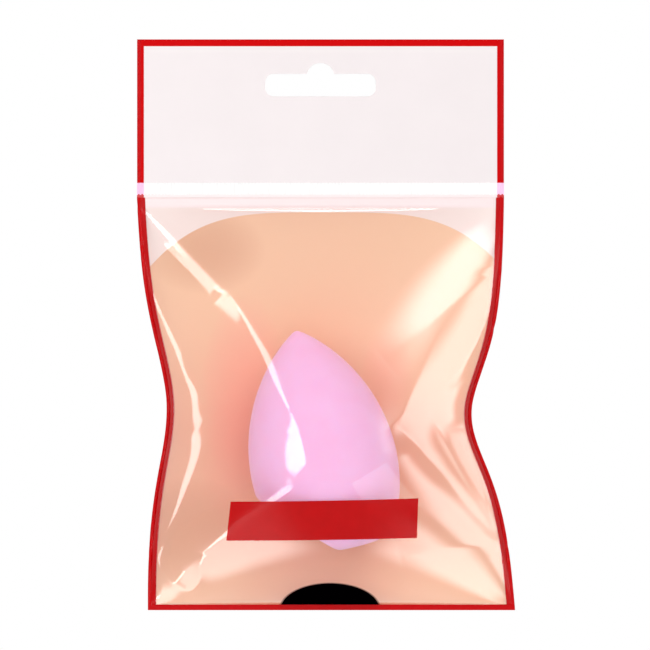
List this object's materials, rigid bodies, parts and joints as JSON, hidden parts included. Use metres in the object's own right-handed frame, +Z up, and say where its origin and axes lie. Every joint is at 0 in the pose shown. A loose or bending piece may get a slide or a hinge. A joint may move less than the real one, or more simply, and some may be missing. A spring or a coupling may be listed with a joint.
{
  "type": "makeup sponge in a header pouch",
  "caption": "Teardrop makeup sponge with a flat edge, sealed in a puffed clear film pouch under a slotted header, with the pouch hinging at its seal and the sponge loose inside.",
  "frame": {"origin": "centre of the round crown of the hang slot, on the mid-plane between the front and back films", "axes": "+Z up along the hanging pack, +X to the right as seen from the front, and the front faces -Y"},
  "size_m": [0.1096, 0.045, 0.1655],
  "materials": {
    "header_print": "satin",
    "red_print": "gloss",
    "seal_white": "satin",
    "clear_film": "gloss",
    "peach_film": "gloss",
    "foam_pink": "matte"
  },
  "bodies": {
    "header": {"header_front_ply": "header_print", "header_back_ply": "header_print", "header_left_weld": "red_print", "header_right_weld": "red_print", "knurled_seal": "seal_white"},
    "pouch": {"front_film": "clear_film", "back_film": "peach_film", "left_side_weld": "red_print", "right_side_weld": "red_print", "bottom_weld": "red_print"},
    "sponge": {"sponge": "foam_pink"}
  },
  "joints": [
    {"name": "pouch_swing", "type": "hinge", "parent": "header", "child": "pouch", "pos_m": [0, 0, -0.03445], "axis": [1, 0, 0], "range_deg": [-90, 90]},
    {"name": "sponge_slide", "type": "slide", "parent": "pouch", "child": "sponge", "axis": [0, 0, 1], "range_m": [0, 0.008]}
  ]
}
